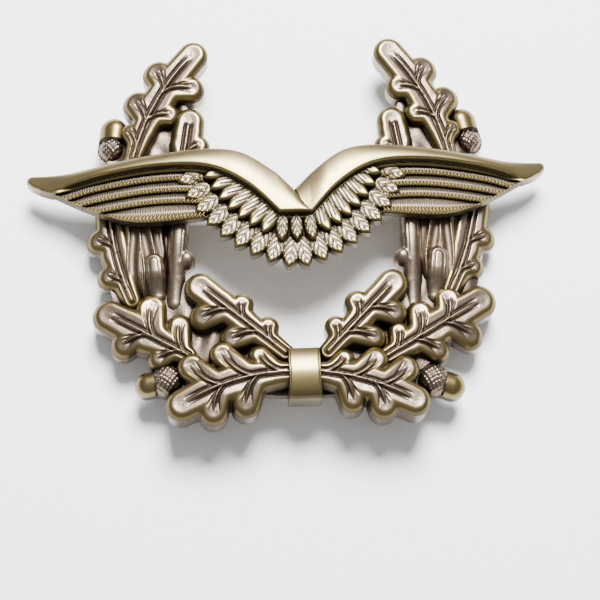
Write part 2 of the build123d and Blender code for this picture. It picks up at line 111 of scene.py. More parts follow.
SHOULDER, SHOULDER_DROP = 0.95, 0.95      # rounding of a leaf's edge: width and depth
LEAF_CROWN, CROWN_REACH = 0.045, 4.0  # fall away from the rib, and how far out it goes on
FIELD_SINK = 0.16                     # the blade's field lies this much below its rim
RIB_W, VEIN_W, SIDE_VEIN_W = 0.17, 0.11, 0.09
RIB_GROOVE, RIB_GROOVE_W = 0.40, 0.13     # groove beside the rib: offset and width
VEIN_GROOVE = 0.30
RIDGE_H, GROOVE_DEPTH = 0.24, 0.30
ROOT_SINK = 1.1                       # how far the side branches dip under the leaves below
BRANCH_EDGE, BRANCH_DROP = 1.25, 1.1  # rounding of a smooth branch: width and depth
BRANCH_GROOVE = 0.12
FLUTE_PITCH, FLUTE_DEPTH, FLUTE_SWAY = 1.5, 0.26, 0.25
FLUTED = ("side_left_middle", "side_right_middle")
SMOOTH = ("side_left_lobe", "side_right_lobe", "side_left_inner", "side_right_inner")

# acorns: cup, then nut, each as centre and radius
ACORNS = {
    "acorn_lower_left": ((-15.6, -18.6, 1.9), (-17.9, -18.9, 1.5)),
    "acorn_lower_right": ((16.2, -19.6, 1.9), (18.4, -20.3, 1.6)),
    "acorn_upper_left": ((-21.7, 11.6, 1.5), (-21.4, 14.0, 1.7)),
    "acorn_upper_right": ((23.0, 11.6, 1.5), (22.4, 14.2, 1.7)),
}
ACORN_BASE_H = 1.3
SCALE_RATE, SCALE_H = 4.6, 0.16       # the cup's scales: closeness and height

# wings, one side, measured from their centre line
WING_X = 0.45
SPAN_LEFT, SPAN_RIGHT, SPAN_DRAWN = 32.55, 31.65, 32.1
BAR_TOP = [(0.0, 3.2), (2.0, 5.6), (6.3, 8.55), (11.4, 9.2), (18.8, 8.7), (26.5, 7.8), (31.6, 8.2)]
BAR_LOW = [(0.0, 0.2), (1.9, 0.2), (5.6, 4.0), (10.2, 6.5), (16.5, 7.05), (24.0, 6.4), (29.0, 5.5),
           (32.1, 7.2)]
BAR_TIP = [(32.05, 7.9), (32.1, 7.3), (31.5, 6.6), (30.4, 5.9)]
UNDER = [(10.8, 0.5), (16.0, 0.3), (19.8, 0.7), (24.3, 2.6), (29.0, 5.4)]
BELLY = [(10.8, 0.5), (9.0, 0.8), (6.8, -1.4), (4.6, -3.0), (2.4, -4.2), (0.0, -4.7)]

FLIGHT_COUNT = 4                      # long feathers on each wing
FLIGHT_FROM, FLIGHT_TO = 10.8, 28.9   # x of their roots, under the coverts, and of the last tip
BAR_LOW_ROOT, UNDER_ROOT = 6.4, 0.5   # y of the bar's and the wing's lower edge there
FLIGHT_NARROWING = 0.03               # share of its width a feather loses every 10 mm
FLIGHT_GAP = 0.05                     # groove between one feather and the next
FLIGHT_THINNEST = 0.06                # a feather ends where it is narrower than this
FLIGHT_ALONG, FLIGHT_ACROSS = 640, 30     # points along and across one feather's mesh
BEAD_PITCH, BARB_PITCH = 0.44, 0.30   # slanting barbs below the quill, and fine ones above it

# coverts fan out from one centre: radius to the tips, angle of the tip nearest the middle,
# step, number, and feather length at the middle and at the outer end
FAN = (-3.0, 11.0)
ROW2 = (17.8, -76.4, 7.2, 9, 3.8, 2.9)
ROW1 = (14.8, -61.5, 6.6, 7, 3.8, 2.7)
SMALL_PITCH, SMALL_ROOT_Y, SMALL_TIP_Y, SMALL_SPREAD = 1.6, 0.2, -3.1, 1.2
ROW2_HALF, ROW1_HALF, SMALL_HALF = 1.18, 0.92, 0.82
ROW2_TUCK, ROW1_TUCK, SMALL_TUCK = 0.4, 1.0, 0.4      # length hidden under the row above
COVERT_NOSE = 2.0                     # length of the pointed end, in half widths
COVERT_EDGE, COVERT_CROWN = 0.42, 0.30    # rounding of the edge, and fall from quill to side
COVERT_SLOPE = 0.14                   # a feather rises towards its tip
SLASH_PITCH, CHEVRON_PITCH = 0.58, 0.95
PLATE_H, FLIGHT_H, ROW2_H, ROW1_H, BAR_H = 3.9, 4.45, 4.9, 5.3, 6.0
SMALL_H = ROW1_H + 0.1
PLATE_INSET = 0.12                    # the plate stays this far inside the feathers' outline


# -- small maths -------------------------------------------------------------
def smoothstep(low, high, x):
    t = np.clip((x - low) / (high - low), 0.0, 1.0)
    return t * t * (3 - 2 * t)


def bump(x, centre, width):
    """1 at the centre, fading smoothly on both sides."""
    return np.exp(-((x - centre) / width) ** 2)


def lift(x, h):
    """z of a point at height h above the curved back."""
    return BACK_Z + np.sqrt((BEND_R + h) ** 2 - x * x) - BEND_R


def soft_max(a, b, k):
    """Larger of two distances, blended where they are within k."""
    t = np.clip(0.5 + (a - b) / (2 * k), 0.0, 1.0)
    return b + (a - b) * t + k * t * (1 - t)


def along(x, y, a, b):
    """Distance from a segment and the place along it, 0 to 1."""
    dx, dy = b[0] - a[0], b[1] - a[1]
    t = np.clip(((x - a[0]) * dx + (y - a[1]) * dy) / (dx * dx + dy * dy), 0.0, 1.0)
    return np.hypot(x - a[0] - t * dx, y - a[1] - t * dy), t


def capsule(x, y, a, b, ra, rb):
    """Signed distance from a round-ended bar, positive inside."""
    gap, t = along(x, y, a, b)
    return ra + (rb - ra) * t - gap


def round_edge(d, width):
    """Drop of a quarter-round edge: 1 on the outline, 0 from width inside it."""
    t = np.clip(d / width, 0.0, 1.0)
    return 1 - np.sqrt(1 - (1 - t) ** 2)


def line_gap(x, y, line):
    """Distance from a polyline and the share of its length reached."""
    gap = np.full(np.shape(x), 1e3)
    share = np.zeros(np.shape(x))
    count = len(line) - 1
    for i in range(count):
        g, t = along(x, y, line[i], line[i + 1])
        near = g < gap
        gap = np.where(near, g, gap)
        share = np.where(near, (i + t) / count, share)
    return gap, share


def bezier(a, b, c, count=8):
    out = []
    for i in range(count + 1):
        t = i / count
        out.append(tuple((1 - t) ** 2 * p + 2 * t * (1 - t) * q + t * t * r for p, q, r in zip(a, b, c)))
    return out


def smooth_line(points, per=6):
    """Catmull-Rom curve through points."""
    pts = [points[0]] + list(points) + [points[-1]]
    out = []
    for p0, p1, p2, p3 in zip(pts, pts[1:], pts[2:], pts[3:]):
        for i in range(per):
            t = i / per
            out.append(tuple(
                0.5 * (2 * b + (c - a) * t + (2 * a - 5 * b + 4 * c - d) * t * t
                       + (3 * b - a - 3 * c + d) * t ** 3)
                for a, b, c, d in zip(p0, p1, p2, p3)))
    out.append(tuple(points[-1]))
    return out


def curve_y(points, x):
    """y of the smooth curve through points."""
    line = np.array(smooth_line(points))
    return np.interp(x, line[:, 0], line[:, 1])


def polygon_inside(x, y, ring):
    """Signed distance from a closed outline, positive inside."""
    gap = np.full(np.shape(x), 1e3)
    inner = np.zeros(np.shape(x), bool)
    for a, b in zip(ring, ring[1:] + ring[:1]):
        gap = np.minimum(gap, along(x, y, a, b)[0])
        crosses = (a[1] > y) != (b[1] > y)
        rise = b[1] - a[1] if abs(b[1] - a[1]) > 1e-9 else 1e-9
        inner ^= crosses & (x < (b[0] - a[0]) * (y - a[1]) / rise + a[0])
    return np.where(inner, gap, -gap)


# -- meshes ------------------------------------------------------------------
# Paints per vertex: rubbed polish; dark antiquing in grooves together with painted shade along leaf and
# feather edges, at the band's ends and over the long feathers' upper halves; and grain.
PAINTS = ("polish", "antiquing_and_shade", "grain")
THINNEST = 0.02         # least thickness of a relief
PROBE = 0.02            # step for the slope of a distance
FAR_OUTSIDE = -50.0


def span_of(points, pad):
    """Box round the points, wider by pad on each side."""
    xs, ys = [p[0] for p in points], [p[1] for p in points]
    return min(xs) - pad, min(ys) - pad, max(xs) + pad, max(ys) + pad


def block(X, Y, H, keep, base, paint):
    """Vertices, quads and paint of a solid with the given top, plumb walls and a flat underside."""
    index = np.full(X.shape, -1)
    used = np.zeros(X.shape, bool)
    for i in (0, 1):
        for j in (0, 1):
            used[i:X.shape[0] - 1 + i, j:X.shape[1] - 1 + j] |= keep
    count = int(used.sum())
    index[used] = np.arange(count)
    corners = index[:-1, :-1], index[:-1, 1:], index[1:, 1:], index[1:, :-1]
    top = np.column_stack([c[keep] for c in corners])
    x, y, h = X[used], Y[used], H[used]
    padded = np.pad(keep, 1)
    beside = (padded[:-2, 1:-1], padded[1:-1, 2:], padded[2:, 1:-1], padded[1:-1, :-2])
    sides = []
    for k in range(4):
        open_side = keep & ~beside[k]
        sides.append(np.column_stack([corners[k][open_side], corners[(k + 1) % 4][open_side]]))
    sides = np.concatenate(sides)
    rim = np.unique(sides)
    slot_of = np.full(count, -1)
    slot_of[rim] = np.arange(len(rim))
    base_h = np.minimum(base, h - THINNEST)
    xs = np.concatenate([x, x, x[rim], x[rim]])
    ys = np.concatenate([y, y, y[rim], y[rim]])
    zs = np.concatenate([lift(x, h), lift(x, base_h), lift(x[rim], h[rim]), lift(x[rim], base_h[rim])])
    a, b = slot_of[sides[:, 0]] + 2 * count, slot_of[sides[:, 1]] + 2 * count
    walls = np.column_stack([a + len(rim), b + len(rim), b, a])
    quads = np.concatenate([top, top[:, ::-1] + count, walls])
    colours = {}
    for name in PAINTS:
        values = np.broadcast_to(np.asarray(paint.get(name, 0.0), float), X.shape)[used]
        plain = WALL_POLISH if name == "polish" else 0.0
        lower = np.full(count, plain)
        wall = np.full(len(rim), plain)
        colours[name] = np.concatenate([values, lower, wall, wall])
    return np.column_stack([xs, ys, zs]), quads, colours


def relief(inside, height, span, base=0.0, step=STEP):
    """Solid over a grid: cells within the outline, with the outer ring pulled onto it."""
    x0, y0, x1, y1 = span
    X, Y = np.meshgrid(np.arange(x0, x1 + step, step), np.arange(y0, y1 + step, step))
    keep = inside(X[:-1, :-1] + step / 2, Y[:-1, :-1] + step / 2) > 0
    cover = np.zeros(X.shape, int)
    for i in (0, 1):
        for j in (0, 1):
            cover[i:X.shape[0] - 1 + i, j:X.shape[1] - 1 + j] += keep
    ring = (cover > 0) & (cover < 4)
    ex, ey = X[ring], Y[ring]
    at_x, at_y = ex.copy(), ey.copy()
    for _ in range(3):
        d = inside(ex, ey)
        sx = (inside(ex + PROBE, ey) - inside(ex - PROBE, ey)) / (2 * PROBE)
        sy = (inside(ex, ey + PROBE) - inside(ex, ey - PROBE)) / (2 * PROBE)
        steep = np.maximum(sx * sx + sy * sy, 0.3)
        ex, ey = ex - d * sx / steep, ey - d * sy / steep
    X[ring] = np.clip(ex, at_x - step, at_x + step)
    Y[ring] = np.clip(ey, at_y - step, at_y + step)
    H, paint = height(X, Y)
    return block(X, Y, H, keep, base, paint)


def make_object(name, parts, body, slot, nodes, material):
    """One object from several solids, riding its body in place of the CAD nodes."""
    verts, quads, paints, start = [], [], {p: [] for p in PAINTS}, 0
    for v, q, c in parts:
        verts.append(v)
        quads.append(q + start)
        start += len(v)
        for p in PAINTS:
            paints[p].append(c[p])
    verts, quads = np.concatenate(verts) * MM, np.concatenate(quads)
    mesh = bpy.data.meshes.new(name)
    mesh.vertices.add(len(verts))
    mesh.vertices.foreach_set("co", verts.ravel())
    mesh.loops.add(quads.size)
    mesh.loops.foreach_set("vertex_index", quads.ravel().astype(np.int32))
    mesh.polygons.add(len(quads))
    mesh.polygons.foreach_set("loop_start", np.arange(0, quads.size, 4, dtype=np.int32))
    mesh.polygons.foreach_set("use_smooth", np.ones(len(quads), bool))
    for p in PAINTS:
        attribute = mesh.attributes.new(p, "FLOAT", "POINT")
        attribute.data.foreach_set("value", np.concatenate(paints[p]).astype(np.float32))
    mesh.update(calc_edges=True)
    mesh.validate()
    obj = bpy.data.objects.new(name, mesh)
    bpy.context.scene.collection.objects.link(obj)
    mesh.materials.append(material)
    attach(obj, body)
    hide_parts(*nodes)


# -- materials ---------------------------------------------------------------
class Nodes:
    """Short way to build a node tree."""

    def __init__(self, name):
        self.material = bpy.data.materials.new(name)
        self.material.use_nodes = True
        self.tree = self.material.node_tree
        self.shader = self.tree.nodes["Principled BSDF"]

    def add(self, kind, inputs=None, **settings):
        node = self.tree.nodes.new(kind)
        for key, value in settings.items():
            setattr(node, key, value)
        for key, value in (inputs or {}).items():
            self.feed(node.inputs[key], value)
        return node

    def feed(self, socket, value):
        if isinstance(value, bpy.types.NodeSocket):
            self.tree.links.new(value, socket)
        else:
            socket.default_value = value

    def maths(self, operation, a, b=0.0, clamp=False):
        node = self.add("ShaderNodeMath", {0: a, 1: b}, operation=operation, use_clamp=clamp)
        return node.outputs[0]

    def mix(self, share, a, b):
        node = self.add("ShaderNodeMix", data_type="RGBA")
        self.feed(node.inputs[0], share)
        self.feed(node.inputs[6], a)
        self.feed(node.inputs[7], b)
        return node.outputs[2]

    def value(self, name):
        return self.add("ShaderNodeAttribute", attribute_name=name).outputs["Fac"]

    def noise(self, scale, detail=3.0, roughness=0.55):
        place = self.add("ShaderNodeTexCoord").outputs["Object"]
        node = self.add("ShaderNodeTexNoise", {"Vector": place, "Scale": scale, "Detail": detail,
                                               "Roughness": roughness})
        return node.outputs["Fac"]

    def ramp(self, fac, low, high):
        node = self.add("ShaderNodeMapRange", {"Value": fac, "From Min": low, "From Max": high})
        return node.outputs["Result"]


def bronze(name, field, polished, dark, shine):
    """Antiqued bronze: dark patina in grooves and crevices, darkened further by painted shade, rubbed
    bright on rims and ridges.
    """
    n = Nodes(name)
    polish, antiquing_and_shade, grain = (n.value(p) for p in PAINTS)
    mottle = n.noise(420.0, 4.0)
    speckle = n.noise(3600.0, 2.0, 0.7)
    uneven = n.maths("MULTIPLY", n.maths("SUBTRACT", mottle, 0.5), 0.5)
    rubbed = n.maths("ADD", polish, uneven, clamp=True)
    colour = n.mix(rubbed, field, polished)
    # Painted shade: ambient occlusion darkens creases, gaps between parts and spots under overhanging
    # parts.
    occluded = n.add("ShaderNodeAmbientOcclusion", {"Distance": 0.0011}, samples=8).outputs["AO"]
    shade = n.ramp(occluded, 0.92, 0.42)
    pits = n.maths("MULTIPLY", n.ramp(speckle, 0.52, 0.36), grain)
    # The dark antiquing and the painted shade are joined here.
    antiquing_with_ao_shade = n.maths("MAXIMUM", antiquing_and_shade, shade)
    antiquing_pits_and_shade = n.maths("MAXIMUM", antiquing_with_ao_shade, n.maths("MULTIPLY", pits, 0.75), clamp=True)
    colour = n.mix(antiquing_pits_and_shade, colour, dark)
    n.feed(n.shader.inputs["Base Color"], colour)
    n.feed(n.shader.inputs["Metallic"], 1.0)
    rough = n.maths("ADD", shine, n.maths("MULTIPLY", mottle, 0.12))
    rough = n.maths("ADD", rough, n.maths("MULTIPLY", antiquing_pits_and_shade, 0.25), clamp=True)
    n.feed(n.shader.inputs["Roughness"], rough)
    depth = n.maths("MULTIPLY", speckle, n.maths("ADD", grain, 0.06))
    bumped = n.add("ShaderNodeBump", {"Height": depth, "Strength": 0.35, "Distance": 0.00008})
    n.feed(n.shader.inputs["Normal"], bumped.outputs["Normal"])
    return n.material


def plain_metal(name, colour, tarnish, shine):
    """Drawn or turned metal with a thin uneven tarnish."""
    n = Nodes(name)
    mottle = n.noise(900.0, 4.0)
    share = n.ramp(mottle, 0.45, 0.8)
    n.feed(n.shader.inputs["Base Color"], n.mix(share, colour, tarnish))
    n.feed(n.shader.inputs["Metallic"], 1.0)
    n.feed(n.shader.inputs["Roughness"], n.maths("ADD", shine, n.maths("MULTIPLY", share, 0.2)))
    fine = n.noise(5200.0, 2.0)
    bumped = n.add("ShaderNodeBump", {"Height": fine, "Strength": 0.25, "Distance": 0.00005})
    n.feed(n.shader.inputs["Normal"], bumped.outputs["Normal"])
    return n.material


# DARK is the colour of the patina and of the painted shade.
DARK = (0.020, 0.014, 0.010, 1)
WREATH_METAL = bronze("wreath_bronze", (0.205, 0.158, 0.130, 1), (0.185, 0.140, 0.058, 1), DARK, 0.25)
WINGS_METAL = bronze("wings_bronze", (0.235, 0.186, 0.145, 1), (0.215, 0.170, 0.072, 1), DARK, 0.27)
FIXINGS_METAL = plain_metal("fixings_brass", (0.62, 0.52, 0.28, 1), (0.18, 0.13, 0.07, 1), 0.3)
NEEDLE_METAL = plain_metal("needle_steel", (0.62, 0.61, 0.59, 1), (0.25, 0.23, 0.21, 1), 0.2)


# -- wreath ------------------------------------------------------------------
def rib_point(stalk, tip, bow, share):
    """Place along a leaf's curved rib."""
    dx, dy = tip[0] - stalk[0], tip[1] - stalk[1]
    aside = 4 * bow * share * (1 - share) / math.hypot(dx, dy)
    return (stalk[0] + dx * share - dy * aside, stalk[1] + dy * share + dx * aside)


def leaf_lobes(stalk, tip, bow, left, right):
    """Root, root radius, end and end radius of each lobe."""
    dx, dy = tip[0] - stalk[0], tip[1] - stalk[1]
    length = math.hypot(dx, dy)
    lobes = []
    for side, row in ((1, left), (-1, right)):
        for share, reach, r in row:
            out = reach - r
            root = rib_point(stalk, tip, bow, max(0.0, share - LOBE_LEAN * out / length))
            x, y = rib_point(stalk, tip, bow, share)
            end = (x - side * dy / length * out, y + side * dx / length * out)
            lobes.append((root, LOBE_NECK * r, end, r))
    return lobes


def vein_fan(stalk, tip, lobes):
    """Curves from the rib to each lobe: the vein and a finer one on each side of it."""
    length = math.hypot(tip[0] - stalk[0], tip[1] - stalk[1])
    dx, dy = (tip[0] - stalk[0]) / length, (tip[1] - stalk[1]) / length
    fan = []
    for root, _, end, r in lobes:
        start = (root[0] - dx * VEIN_BACK, root[1] - dy * VEIN_BACK)
        reach = math.hypot(end[0] - start[0], end[1] - start[1])
        ux, uy = (end[0] - start[0]) / reach, (end[1] - start[1]) / reach
        bend = (start[0] + dx * VEIN_BEND * reach, start[1] + dy * VEIN_BEND * reach)
        for spread, weight in ((0.0, 1.0), (SIDE_VEIN, SIDE_VEIN_WEIGHT), (-SIDE_VEIN, SIDE_VEIN_WEIGHT)):
            to = (end[0] + ux * 0.2 - uy * r * spread, end[1] + uy * 0.2 + ux * r * spread)
            fan.append((bezier(start, bend, to), weight))
    return fan


def crowned(height, d, gap):
    """Blade that is round at its edge and falls away from its rib."""
    crown = LEAF_CROWN * np.minimum(gap, CROWN_REACH) ** 2
    return height - SHOULDER_DROP * round_edge(d, SHOULDER) - crown


def smooth_top(height, d, gap, share):
    """Plump branch with one groove on each side of its middle."""
    h = height - BRANCH_DROP * round_edge(d, BRANCH_EDGE) - ROOT_SINK * (1 - smoothstep(0.0, 0.7, share))
    groove = bump(gap, 0.6, 0.12) * smoothstep(0.45, 0.9, d) * smoothstep(0.2, 0.6, share)
    return h - BRANCH_GROOVE * groove, {"polish": 0.3, "antiquing_and_shade": 0.8 * groove, "grain": 0.7}


def fluted_top(height, d, gap, share, y):
    """Bundle of stalks: wavering flutes along the branch."""
    across = gap + FLUTE_SWAY * np.sin(0.55 * y + 1.0)
    wave = 1 - 2 * np.abs(np.sin(math.pi * across / FLUTE_PITCH)) ** 0.7
    h = crowned(height, d, gap) + FLUTE_DEPTH * wave * smoothstep(0.2, 0.8, d)
    h = h - ROOT_SINK * (1 - smoothstep(0.0, 0.3, share))
    crest, trough = np.clip(wave, 0, 1), np.clip(-wave, 0, 1)
    return h, {"polish": 0.2 + 0.6 * crest, "antiquing_and_shade": 0.75 * trough, "grain": 0.6}


def veined_top(height, d, gap, share, x, y, fan):
    """Leaf blade with a raised rib, a vein to each lobe and grooves beside them."""
    field = smoothstep(0.5, 1.7, d)
    h = crowned(height, d, gap) - FIELD_SINK * field
    on_rib = 1 - smoothstep(0.84, 0.97, share)
    ridge = bump(gap, 0.0, RIB_W) * on_rib
    groove = bump(gap, RIB_GROOVE, RIB_GROOVE_W) * on_rib
    for vein, weight in fan:
        from_vein, reached = line_gap(x, y, vein)
        fade = weight * (1 - smoothstep(0.8, 1.0, reached))
        if weight == 1.0:
            ridge = np.maximum(ridge, 0.85 * bump(from_vein, 0.0, VEIN_W) * fade)
            groove = np.maximum(groove, bump(from_vein, VEIN_GROOVE, VEIN_W) * fade)
        else:
            side_vein = bump(from_vein, 0.0, SIDE_VEIN_W) * fade * smoothstep(0.2, 0.5, reached)
            groove = np.maximum(groove, side_vein)
    groove = groove * (1 - ridge) * smoothstep(0.25, 0.6, d)
    h = h + RIDGE_H * ridge * smoothstep(0.1, 0.8, d) - GROOVE_DEPTH * groove
    polish = np.clip(1.0 - 0.85 * smoothstep(0.3, 1.5, d) + 0.4 * ridge, 0, 1)
    # Painted shade: the rolled outer edge of the blade is darkened.
    edge = 0.8 * (1 - smoothstep(0.0, 0.4, d))
    grain = field * (1 - 0.7 * ridge)
    return h, {"polish": polish, "antiquing_and_shade": np.maximum(0.9 * groove, edge), "grain": grain}


def leaf_part(height, stalk, tip, bow, halves, left, right, style):
    """One oak leaf or branch; see LEAVES for the arguments."""
    stations = (0.0, 0.25, 0.5, 0.75, 1.0)
    rib = [rib_point(stalk, tip, bow, share) for share in stations]
    widths = np.interp(stations, (0.0, 0.5, 1.0), (STALK_HALF, *halves))
    lobes = leaf_lobes(stalk, tip, bow, left, right)

    def inside(x, y):
        d = np.full(np.shape(x), FAR_OUTSIDE)
        for a, b, ra, rb in zip(rib, rib[1:], widths, widths[1:]):
            d = soft_max(d, capsule(x, y, a, b, ra, rb), BLADE_BLEND)
        for root, root_r, end, r in lobes:
            d = soft_max(d, capsule(x, y, root, end, root_r, r), LOBE_BLEND)
        return d

    spine = smooth_line(rib, 3)
    fan = vein_fan(stalk, tip, lobes)

    def shape(x, y):
        d = inside(x, y)
        gap, share = line_gap(x, y, spine)
        if style == "smooth":
            return smooth_top(height, d, gap, share)
        if style == "fluted":
            return fluted_top(height, d, gap, share, y)
        return veined_top(height, d, gap, share, x, y, fan)

    ends = rib + [end for _, _, end, _ in lobes]
    return relief(inside, shape, span_of(ends, 3.2))


def acorn_part(cup, nut):
    """Scaly cup with a smooth nut standing out of it."""
    dx, dy = nut[0] - cup[0], nut[1] - cup[1]
    length = math.hypot(dx, dy)
    ux, uy = dx / length, dy / length
    seam = (length ** 2 + cup[2] ** 2 - nut[2] ** 2) / (2 * length)

    def inside(x, y):
        a = cup[2] - np.hypot(x - cup[0], y - cup[1])
        b = capsule(x, y, cup[:2], nut[:2], nut[2], nut[2])
        return np.maximum(a, b)

    def shape(x, y):
        in_cup = cup[2] - np.hypot(x - cup[0], y - cup[1])
        in_nut = capsule(x, y, cup[:2], nut[:2], nut[2] * 0.95, nut[2])
        dome_cup = np.sqrt(np.clip(cup[2] ** 2 - (cup[2] - in_cup) ** 2, 0, None))
        dome_nut = np.sqrt(np.clip(nut[2] ** 2 - (nut[2] - in_nut) ** 2, 0, None))
        forward = (x - cup[0]) * ux + (y - cup[1]) * uy
        sideways = -(x - cup[0]) * uy + (y - cup[1]) * ux
        is_cup = 1 - smoothstep(seam - 0.1, seam + 0.05, forward)
        rising = np.abs(np.sin(SCALE_RATE * (forward + sideways)))
        falling = np.abs(np.sin(SCALE_RATE * (forward - sideways)))
        scale = rising * falling
        h = ACORN_BASE_H + np.where(is_cup > 0.5, dome_cup + SCALE_H * scale, dome_nut * 0.95)
        antiquing_and_shade = is_cup * np.clip(1 - 3.0 * scale, 0, 1) * 0.8
        antiquing_and_shade = np.maximum(antiquing_and_shade, bump(forward, seam, 0.12))
        return h, {"polish": 1 - 0.8 * is_cup, "antiquing_and_shade": antiquing_and_shade, "grain": 0.6 * is_cup}

    return relief(inside, shape, span_of((cup, nut), 2.2))


def ground_part(run):
    """Low rippled ground that shows between the leaves."""
    def inside(x, y):
        d = np.full(np.shape(x), FAR_OUTSIDE)
        for (ax, ay, ar), (bx, by, br) in zip(run, run[1:]):
            d = soft_max(d, capsule(x, y, (ax, ay), (bx, by), ar, br), 0.3)
        return d

    def shape(x, y):
        ripple = 0.18 * np.sin(2.3 * x + 0.7 * np.sin(1.1 * y)) * np.sin(0.45 * y + 1.0)
        return GROUND_H + ripple, {"polish": 0.15, "antiquing_and_shade": 0.35, "grain": 1.0}

    return relief(inside, shape, span_of(run, 6), step=GROUND_STEP)


WREATH = ("badge", "wreath_bronze", ["wreath"], WREATH_METAL)
for side_name, run in GROUND.items():
    make_object("wreath_ground_" + side_name, [ground_part(run)], *WREATH)
for leaf_name, spec in LEAVES.items():
    style = "fluted" if leaf_name in FLUTED else "smooth" if leaf_name in SMOOTH else "veined"
    make_object("leaf_" + leaf_name, [leaf_part(*spec, style)], *WREATH)
for acorn_name, (cup, nut) in ACORNS.items():
    make_object(acorn_name, [acorn_part(cup, nut)], *WREATH)


# -- wings -------------------------------------------------------------------
def wing_x(side, x):
    """The two wings differ a little in length."""
    reach = SPAN_RIGHT if side > 0 else SPAN_LEFT
    return WING_X + side * x * reach / SPAN_DRAWN


def strip(side, xs, low, high, profile):
    """Solid between two curves over x, with its top given by profile(x, share)."""
    share = np.linspace(0, 1, FLIGHT_ACROSS)[:, None]
    x = xs[None, :] + 0 * share
    y = low[None, :] + (high - low)[None, :] * share
    h, paint = profile(x, share + 0 * x)
    X = wing_x(side, x)
    arrays = [X, y, h] + [np.broadcast_to(v, X.shape) for v in paint.values()]
    if side < 0:
        arrays = [a[:, ::-1] for a in arrays]
    keep = np.ones((X.shape[0] - 1, X.shape[1] - 1), bool)
    return block(arrays[0], arrays[1], arrays[2], keep, WING_BACK, dict(zip(paint, arrays[3:])))


V_NOTCH, V_CREASE = (0.3, 3.5), (2.1, 0.9)     # where the left bar's end laps over the right bar
BAR_FOOT = 0.2
LEFT_FOOT = (V_CREASE[0], BAR_FOOT)            # inner ends of the two bars' feet
RIGHT_FOOT = (1.4, BAR_FOOT)
BAR_THINNING = 0.9                             # how much lower the bar is at the wing's tip
LIP, LIP_SINK = 0.42, 1.15                     # fillet strip along the bar's foot: width, depth


def lipped(points):
    """The bar's foot line let down by the fillet strip, which fades out before the tip."""
    return [(x, y - LIP * smoothstep(31.0, 27.0, abs(x))) for x, y in points]


def bar_part(side):
    """Smooth leading edge: crowned towards its lower side, with a fine strip along its foot."""
    high = [(wing_x(side, x), y) for x, y in smooth_line(BAR_TOP[1:])]
    low = [(wing_x(side, x), y) for x, y in smooth_line(BAR_LOW[1:-1])]
    tip = [(wing_x(side, x), y) for x, y in BAR_TIP]
    if side < 0:
        inner = lipped([LEFT_FOOT]) + [V_CREASE, V_NOTCH]
        foot = [(V_CREASE[0], low[0][1])] + low
        roof = [V_CREASE, V_NOTCH] + high
    else:
        inner = lipped([RIGHT_FOOT]) + [V_NOTCH]
        foot = [(0.6, low[0][1])] + low
        roof = [V_NOTCH] + high
    outline = high + tip + lipped(low[::-1]) + inner
    fx, fy = np.array(sorted(foot)).T
    rx, ry = np.array(sorted(roof)).T

    def inside(x, y):
        return polygon_inside(x, y, outline)

    def shape(x, y):
        d = inside(x, y)
        below, above = np.interp(x, fx, fy), np.interp(x, rx, ry)
        share = np.clip((y - below) / np.maximum(above - below, 0.4), -1.0, 1.3)
        over = y - below
        away = np.abs(x - WING_X)
        thin = smoothstep(22.0, 32.0, away)
        back_slope = (0.95 - 0.3 * thin) * np.clip(share - 0.12, 0, 1) ** 2.0
        h = BAR_H - BAR_THINNING * thin - back_slope
        if side > 0:
            h = h - 0.45 * smoothstep(4.5, 0.5, x)
        h = h - 0.7 * round_edge(over, 0.4) * (1 - thin)
        h = h - 0.45 * round_edge(d, 0.35) * smoothstep(0.25, 0.5, over)
        strip_share = (over + LIP) / LIP
        lip_h = BAR_H - LIP_SINK - 0.30 * (2 * strip_share - 0.9) ** 2 - BAR_THINNING * thin
        on_lip = smoothstep(0.02, -0.06, over) * (1 - smoothstep(26.0, 29.0, away))
        h = h * (1 - on_lip) + lip_h * on_lip
        line = bump(over, 0.0, 0.09) * (1 - smoothstep(27.0, 29.5, away))
        return h, {"polish": 1.0 - 0.35 * share, "antiquing_and_shade": 0.9 * line, "grain": 0.10}

    xs = [p[0] for p in outline]
    return relief(inside, shape, (min(xs) - 0.3, -0.6, max(xs) + 0.3, 9.8), WING_BACK, BAR_STEP)


def flight_y(k, xs):
    """Line k between the long feathers, keeping along the bar until the under edge cuts it off."""
    upper, under = curve_y(BAR_LOW, xs) - 0.12, curve_y(UNDER, xs)
    if k == FLIGHT_COUNT:
        return under
    root_gap = (BAR_LOW_ROOT - UNDER_ROOT) / FLIGHT_COUNT
    narrowing = 1 - FLIGHT_NARROWING * np.clip((xs - FLIGHT_FROM) / 10.0, 0, 2)
    return np.maximum(upper - k * root_gap * narrowing, under)


def flight_profile(x, share):
    """One long feather: beaded slanting barbs along its lower edge, fine ones above the quill."""
    h = FLIGHT_H + 0.22 - 0.50 * share ** 1.3
    h = h - 0.42 * round_edge(share, 0.14)
    bead = np.sin(2 * math.pi * (x / BEAD_PITCH + 1.7 * share))
    beads = smoothstep(0.06, 0.13, share) * (1 - smoothstep(0.38, 0.46, share))
    fine = np.sin(2 * math.pi * (x / BARB_PITCH + 0.5 * share))
    fines = smoothstep(0.55, 0.64, share) * (1 - smoothstep(0.94, 1.0, share))
    h = h + 0.11 * bead * beads + 0.05 * fine * fines - 0.06 * bump(share, 0.48, 0.05)
    antiquing_and_shade = 0.75 * beads * np.clip(-bead, 0, 1) + 0.4 * fines * np.clip(-fine, 0, 1)
    antiquing_and_shade = np.maximum(antiquing_and_shade, 0.5 * bump(share, 0.47, 0.06))
    antiquing_and_shade = np.maximum(antiquing_and_shade, 1 - smoothstep(0.0, 0.05, share))
    # Painted shade: the upper half of each long feather is darkened.
    antiquing_and_shade = np.maximum(antiquing_and_shade, 0.25 * smoothstep(0.38, 0.6, share))
    polish = np.where(share < 0.44, 1.0, 0.15)
    return h, {"polish": polish, "antiquing_and_shade": antiquing_and_shade, "grain": 0.7 * fines}


